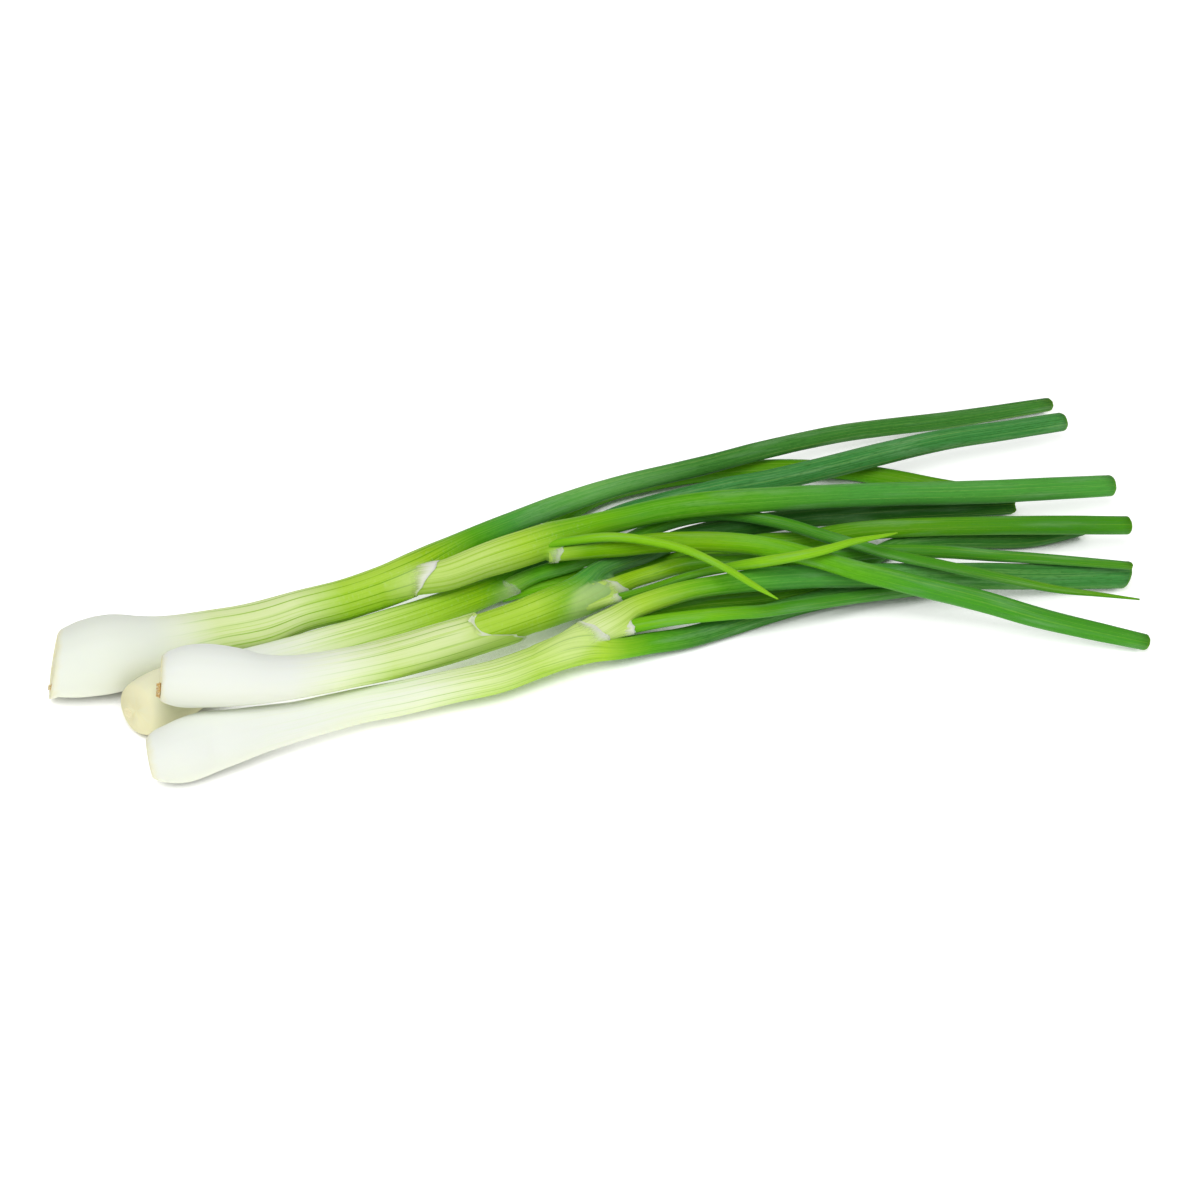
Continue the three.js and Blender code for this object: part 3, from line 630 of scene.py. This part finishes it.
def sink_cap(bm, at, steps):
    """Insets the end cap at height at, or extrudes it where the inset is 0, and moves it along."""
    caps = [face for face in bm.faces if len(face.verts) > 8]
    cap = next(face for face in caps if all(abs(v.co.z - at) < 1e-5 for v in face.verts))
    for inset, drop in steps:
        if inset:
            bmesh.ops.inset_region(bm, faces=[cap], thickness=inset, use_even_offset=True)
        else:
            cap = bmesh.ops.extrude_discrete_faces(bm, faces=[cap])["faces"][0]
        bmesh.ops.translate(bm, verts=cap.verts, vec=(0, 0, drop))


def slanted(reach, turn):
    """A straight slanted edge, whose reach in millimetres is largest at turn degrees."""
    c, s = math.cos(math.radians(turn)), math.sin(math.radians(turn))
    return lambda x, y: reach * (x * c + y * s)


def torn(x, y):
    """The torn edge, by the turn round the sheath."""
    turn = math.degrees(math.atan2(y, x)) % 360
    return through(TORN_EDGE, turn if turn >= TORN_EDGE[0][0] else turn + 360)


def map_tube(bm, line):
    """Gives a straight tube its map. Returns how far along the leaf each vertex is."""
    uv = bm.loops.layers.uv.new("leaf")
    turns = {v: math.atan2(v.co.x, v.co.y) / (2 * math.pi) + 0.5 for v in bm.verts}
    distances = {v: line.distance(v.co.z) for v in bm.verts}
    for face in bm.faces:
        most = max(turns[loop.vert] for loop in face.loops)
        for loop in face.loops:
            turn = turns[loop.vert]
            if most - turn > 0.5:
                turn += 1
            loop[uv].uv = (turn, distances[loop.vert] * MM)
    return distances


def swelling(sleeve, centre, out):
    """How far the skin at out from the middle line swells to cover a sleeve, in a soft crotch."""
    reach = out.length
    ray = out / reach
    hit = sleeve.ray_cast((centre + ray * FAR) * MM, -ray, FAR * MM)
    covered = FAR - hit[3] / MM if hit[0] else 0.0
    if covered <= reach - 2 * BLEND:
        return 0.0
    apart = covered - reach
    rounded = 0.5 * (apart + math.sqrt(apart**2 + BLEND**2))
    return rounded * smooth(-2 * BLEND, 0, apart)


def bend(bm, line, seed, edge=None, fade=CUT_FADE, rag=0.0, grow=0.0, lump=0.03, sleeve=None):
    """Lays a straight tube along a leaf, with its map of turns and distances.

    edge is how far the far end runs on, which fades out over fade millimetres, and rag makes it
    uneven. grow is how much wider than the leaf the tube is and lump how uneven its width is.
    sleeve is the tree of a sleeve round the next leaf, which the skin swells to cover.
    """
    names = ("inner", "edge", "wrap")
    inner, rim, wrap = [bm.verts.layers.float.new(name) for name in names]
    distances = map_tube(bm, line)
    end = line.distance(max(v.co.z for v in bm.verts))
    first_span = line.distance(1)
    leaf = line.leaf
    trimmed = "trim" in leaf and not grow
    trim = leaf["trim"] if trimmed else (0, 0)
    lip_side = math.radians(VIEW_SIDE + LIP_TURN - leaf["roll"])
    lip_x, lip_y = math.cos(lip_side), math.sin(lip_side)
    for v in bm.verts:
        x, y, station = v.co
        away = math.hypot(x, y)
        centre, side, up, tangent, half, thick = line.section(station)
        distance = distances[v]
        near_end = max(0.0, 1 - (end - distance) / fade)
        near_root = max(0.0, 1 - distance / TRIM_FADE)
        slant = trim[0] * x * half + trim[1] * y * thick
        along = min(station, 0) * first_span + near_root * slant
        if edge:
            uneven = rag * noise.noise(Vector((x * 2.5, y * 2.5, seed)))
            along += (edge(x, y) + uneven) * near_end**2
        wave = 1 + lump * noise.noise(Vector((x * 0.8, y * 0.8, distance * 0.09 + seed * 7)))
        ripple = 1 + 0.01 * noise.noise(Vector((x * 4, y * 4, distance * 0.05 + seed)))
        lip = 1.0
        if trimmed:
            low = max(0.0, x * lip_x + y * lip_y)
            close = max(0.0, 1 - distance / LIP)
            lip = 1 - 0.08 * close**2 + leaf["flare"] * low * close
        size = wave * ripple * lip
        out = side * (half * size + grow) * x + up * (thick * size + grow) * y
        v[inner] = 1.0 if away < 0.97 else 0.0
        if sleeve and not v[inner]:
            swell = swelling(sleeve, centre, out)
            out += out / out.length * min(swell, MOST_SWELL)
            v[wrap] = smooth(0.0, 2.0, swell)
        v[rim] = near_end
        place = centre + out + tangent * along
        v.co = Vector((place.x, place.y, max(place.z, FLOOR_GAP * away))) * MM


def sleeve_of(leaf, following, grow):
    """The sleeve of a sheath round the next leaf, up to its mouth."""
    mouth, rings, hollow_steps, wall = leaf["mouth"], 20, 5, 0.012
    bm = straight_tube(mouth, LEAF_SIDES, rings)
    step = -RIM_HOLLOW / hollow_steps * mouth
    sink_cap(bm, mouth, ((wall, 0), *((0, step) for _ in range(hollow_steps))))
    edge = slanted(*leaf["lean"])
    bend(bm, Line(following), 5, edge=edge, rag=0.7, grow=grow, lump=0.0)
    return bm


def piece(name, bm, material, nodes=()):
    """A finished object from a bmesh: smooth, riding on the part, standing for its nodes."""
    for face in bm.faces:
        face.smooth = len(face.verts) < 8
    mesh = bpy.data.meshes.new(name)
    bm.to_mesh(mesh)
    bm.free()
    mesh.materials.append(material)
    made = bpy.data.objects.new(name, mesh)
    bpy.context.scene.collection.objects.link(made)
    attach(made, "root")
    if nodes:
        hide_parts(*nodes)


def make_leaf(onion, number, sizes):
    """One leaf from its root end or its hidden start to its tip."""
    leaves = ONIONS[onion]
    leaf = leaves[number]
    line = Line(leaf)
    name = f"{onion}_leaf_{number + 1}"
    seed = list(ONIONS).index(onion) * 4 + number + 1
    last = leaf.get("last", line.last)
    bm = straight_tube(last, SHEATH_SIDES if "trim" in leaf else LEAF_SIDES, round(last * RINGS))
    if "trim" in leaf:
        deep = leaf["dish"] / line.distance(1)
        shares = ((0.04, 0.1), (0.06, 0.3), (0.06, 0.0), (0.08, 0.3), (0.06, 0.05), (0.1, 0.25))
        sink_cap(bm, 0, [(inset, deep * share) for inset, share in shares])
    sleeve = None
    if "mouth" in leaf:
        wrapped = sleeve_of(leaf, leaves[number + 1], SLEEVE_ROOM)
        sleeve = BVHTree.FromBMesh(wrapped)
        wrapped.free()
    if leaf.get("torn"):
        bend(bm, line, seed, edge=torn, fade=TORN_FADE, rag=1.2, sleeve=sleeve)
    elif leaf.get("pointed"):
        bend(bm, line, seed, sleeve=sleeve)
    else:
        step = -sizes.hollow / MM / line.distance(line.last) * line.last / HOLLOW_STEPS
        sink_cap(bm, last, ((sizes.blade_wall, 0), *((0, step) for _ in range(HOLLOW_STEPS))))
        cut = slanted(*leaf.get("cut", (CUT_SLANT, VIEW_SIDE - leaf["roll"])))
        bend(bm, line, seed, edge=cut, rag=leaf.get("rag", 0.15), sleeve=sleeve)
    piece(name, bm, leaf_paint(name, line, sizes, seed * 3.7), leaf["nodes"])


def tone(description, code):
    """A colour that a user can change."""
    name = description.split(",")[0]
    return bpy.props.FloatVectorProperty(
        name=name, description=description, default=linear(code), min=0, max=1, subtype="COLOR")


class BunchTones(bpy.types.PropertyGroup):
    """Tones that the skins are painted with."""

    white: tone("White, of the bulbs", "#e9ede5")
    ivory: tone("Ivory, of the largest bulb", "#e9eee2")
    # This tone is painted shade, mixed in on the down-facing side of the white bulbs.
    bone: tone("Bone, under the bulbs", "#e8ebd8")
    milk: tone("Milk, where the bulb turns green", "#ebf1da")
    veil: tone("Veil, of the rims of the sheaths", "#f7f9f0")
    straw: tone("Straw, of the shaded bulb", "#eae9c8")
    cream: tone("Cream, of the trimmed root ends", "#eae5ba")
    tan: tone("Tan, patches on the root plates", "#d8bc78")
    rust: tone("Rust, spots on the root plates", "#bf7414")
    pale: tone("Pale green, of the lower shanks", "#e0edb0")
    lime: tone("Lime, of the shanks", "#c8e27a")
    spring: tone("Spring green, of the upper shanks", "#b0d746")
    yellow: tone("Yellow green, of leaf bases", "#9ac81a")
    vein: tone("Vein green, of the lines on the shanks", "#8abc0c")
    grass: tone("Grass green, where blades start", "#84bd24")
    bright: tone("Bright green, of young blades", "#74b80e")
    apple: tone("Apple green, of the thinnest leaves", "#8ac61c")
    olive: tone("Olive green, of the crossing leaf", "#76ae02")
    moss: tone("Moss green, of shaded blades", "#5f9e0c")
    leaf: tone("Leaf green, of middle blades", "#5eab1c")
    jade: tone("Jade green, of the crossing leaf's outer half", "#469a22")
    fern: tone("Fern green, of waxy blades", "#51a33e")
    dew: tone("Dewy green, with a bloom", "#74b45c")
    pine: tone("Pine green, of lower blades", "#469210")
    deep: tone("Deep green, of old blades", "#488a36")
    sea: tone("Sea green, of the oldest blades", "#469248")
    night: tone("Night green, of the darkest blades", "#2c6420")
    bloom: tone("Bloom, a grey veil on old blades", "#8ab584")


class BunchSizes(bpy.types.PropertyGroup):
    """Sizes that a user would change."""

    blade_wall: bpy.props.FloatProperty(
        name="Leaf wall", description="Share of the half width at a cut leaf's rim",
        default=0.16, min=0.05, max=0.5)
    hollow: bpy.props.FloatProperty(
        name="Hollow", description="Depth of the open hollow at a cut end",
        default=0.022, unit="LENGTH", subtype="DISTANCE")
    vein_count: bpy.props.IntProperty(
        name="Veins", description="Veins round a sheath", default=14, min=4, max=40)
    rim_rise: bpy.props.FloatProperty(
        name="Rim rise", description="How far a sheath's rim stands off the next leaf",
        default=0.00036, unit="LENGTH", subtype="DISTANCE")
    root_count: bpy.props.IntProperty(
        name="Roots", description="Stubs of trimmed roots on each plate", default=26, min=0, max=80)


class ONIONS_OT_stage(bpy.types.Operator):
    """Makes the floor, the lights and the camera."""

    bl_idname = "onions.stage"
    bl_label = "Stage"

    def execute(self, context):
        scene = context.scene
        bm = bmesh.new()
        bmesh.ops.create_grid(bm, x_segments=1, y_segments=1, size=4)
        mesh = bpy.data.meshes.new("floor")
        bm.to_mesh(mesh)
        bm.free()
        mesh.materials.append(floor_paint())
        floor = bpy.data.objects.new("floor", mesh)
        floor.location.z = -0.0002
        scene.collection.objects.link(floor)

        world = bpy.data.worlds.new("studio")
        world.use_nodes = True
        world.node_tree.nodes["Background"].inputs["Color"].default_value = (1, 1, 1, 1)
        world.node_tree.nodes["Background"].inputs["Strength"].default_value = 0.42
        scene.world = world
        scene.view_settings.view_transform = "Standard"

        for name, place, size, power in (
            ("key", (-0.22, -0.4, 0.96), 0.7, 6.6),
            ("fill", (0.1, -1.0, 0.5), 0.6, 0.6),
        ):
            light = bpy.data.lights.new(name, "AREA")
            light.size, light.energy = size, power
            lamp = bpy.data.objects.new(name, light)
            lamp.location = place
            lamp.rotation_mode = "QUATERNION"
            lamp.rotation_quaternion = (-Vector(place)).to_track_quat("-Z", "Y")
            scene.collection.objects.link(lamp)

        azimuth, elevation, distance = math.radians(-15), math.radians(40), 1.0
        back = Vector((
            math.sin(azimuth) * math.cos(elevation),
            -math.cos(azimuth) * math.cos(elevation),
            math.sin(elevation),
        ))
        aim = Vector((AIM[0] - MIDDLE[0], AIM[1] - MIDDLE[1], 0)) * MM
        camera = bpy.data.objects.new("camera", bpy.data.cameras.new("camera"))
        camera.data.sensor_width = 36
        camera.data.lens = 103.44
        camera.location = aim + back * distance
        camera.rotation_mode = "QUATERNION"
        camera.rotation_quaternion = (-back).to_track_quat("-Z", "Y")
        scene.collection.objects.link(camera)
        scene.camera = camera
        return {"FINISHED"}


class ONIONS_OT_outer_leaves(bpy.types.Operator):
    """Makes the oldest leaf of each onion, which is its bulb, its shank and its outer blade."""

    bl_idname = "onions.outer_leaves"
    bl_label = "Bulbs and outer leaves"

    def execute(self, context):
        for onion in ONIONS:
            make_leaf(onion, 0, context.scene.onion_sizes)
        return {"FINISHED"}


class ONIONS_OT_inner_leaves(bpy.types.Operator):
    """Makes the younger leaves that come out of the sheaths."""

    bl_idname = "onions.inner_leaves"
    bl_label = "Younger leaves"

    def execute(self, context):
        for onion, leaves in ONIONS.items():
            for number in range(1, len(leaves)):
                make_leaf(onion, number, context.scene.onion_sizes)
        return {"FINISHED"}


class ONIONS_OT_rims(bpy.types.Operator):
    """Makes the thin whitish rim of each sheath round the leaf that comes out of it."""

    bl_idname = "onions.rims"
    bl_label = "Rims"

    def execute(self, context):
        rise = context.scene.onion_sizes.rim_rise / MM
        for onion, leaves in ONIONS.items():
            for number, (leaf, following) in enumerate(zip(leaves, leaves[1:]), 1):
                if "mouth" in leaf:
                    name = f"{onion}_rim_{number}"
                    bm = sleeve_of(leaf, following, rise)
                    piece(name, bm, rim_paint(name, len(name), leaf["veil"]))
        return {"FINISHED"}


class ONIONS_OT_root_plates(bpy.types.Operator):
    """Makes the root plate of each onion, with stubs of its trimmed roots."""

    bl_idname = "onions.root_plates"
    bl_label = "Root plates"

    def execute(self, context):
        sizes = context.scene.onion_sizes
        for number, (onion, leaves) in enumerate(ONIONS.items()):
            leaf = leaves[0]
            centre, side, up, tangent, half, _ = Line(leaf).section(0)
            to_side, to_up = leaf["trim"]
            outward = (side * to_side + up * to_up - tangent).normalized()
            share, depth, aside, rooted, stain = leaf["plate"]
            radius = share * half
            bm = bmesh.new()
            bmesh.ops.create_icosphere(bm, subdivisions=4, radius=radius)
            for v in bm.verts:
                wave = noise.noise(v.co * 1.1 + Vector((number, 0, 0)))
                v.co.z = v.co.z * PLATE_FLAT + PLATE_BUMPS * wave
            for i in range(round(sizes.root_count * rooted)):
                turn = i * ROOT_TURN + number
                away = radius * ROOT_SPREAD * math.sqrt((i + 0.5) / sizes.root_count)
                thick, thin = ROOT_RADII
                made = bmesh.ops.create_cone(
                    bm, cap_ends=True, segments=7, radius1=thick, radius2=thin, depth=ROOT_LENGTH)
                lean = Matrix.Rotation(0.6 * math.sin(turn * 3), 4, "X")
                place = Matrix.Translation((away * math.cos(turn), away * math.sin(turn), 0.1))
                bmesh.ops.transform(bm, verts=made["verts"], matrix=place @ lean)
            plate_side = math.radians(VIEW_SIDE + PLATE_TURN - leaf["roll"])
            x, y = aside * math.cos(plate_side), aside * math.sin(plate_side)
            slant = to_side * x * half + to_up * y * half
            origin = centre + (side * x + up * y) * half + tangent * slant - outward * depth
            turned = outward.to_track_quat("Z", "Y").to_matrix() * MM
            matrix = Matrix.Translation(origin * MM) @ turned.to_4x4()
            bmesh.ops.transform(bm, verts=bm.verts, matrix=matrix)
            bmesh.ops.recalc_face_normals(bm, faces=bm.faces)
            name = f"{onion}_root_plate"
            piece(name, bm, plate_paint(name, stain), (f"{onion}_stem_disc",))
        return {"FINISHED"}


class ONIONS_PT_panel(bpy.types.Panel):
    """Lists the sizes, the tones and the steps that make the bunch."""

    bl_label = "Spring onion bunch"
    bl_idname = "ONIONS_PT_panel"
    bl_space_type = "VIEW_3D"
    bl_region_type = "UI"
    bl_category = "Onions"

    def draw(self, context):
        for group in (context.scene.onion_sizes, context.scene.onion_tones):
            for name in type(group).__annotations__:
                self.layout.prop(group, name)
        for step in STEPS:
            self.layout.operator(step.bl_idname)


STEPS = (
    ONIONS_OT_stage,
    ONIONS_OT_outer_leaves,
    ONIONS_OT_inner_leaves,
    ONIONS_OT_rims,
    ONIONS_OT_root_plates,
)
CLASSES = (BunchSizes, BunchTones, *STEPS, ONIONS_PT_panel)


def register():
    for cls in CLASSES:
        bpy.utils.register_class(cls)
    bpy.types.Scene.onion_sizes = bpy.props.PointerProperty(type=BunchSizes)
    bpy.types.Scene.onion_tones = bpy.props.PointerProperty(type=BunchTones)


def unregister():
    del bpy.types.Scene.onion_tones
    del bpy.types.Scene.onion_sizes
    for cls in reversed(CLASSES):
        bpy.utils.unregister_class(cls)


def main():
    register()
    bpy.ops.onions.stage()
    bpy.ops.onions.outer_leaves()
    bpy.ops.onions.inner_leaves()
    bpy.ops.onions.rims()
    bpy.ops.onions.root_plates()


if __name__ == "__main__":
    main()
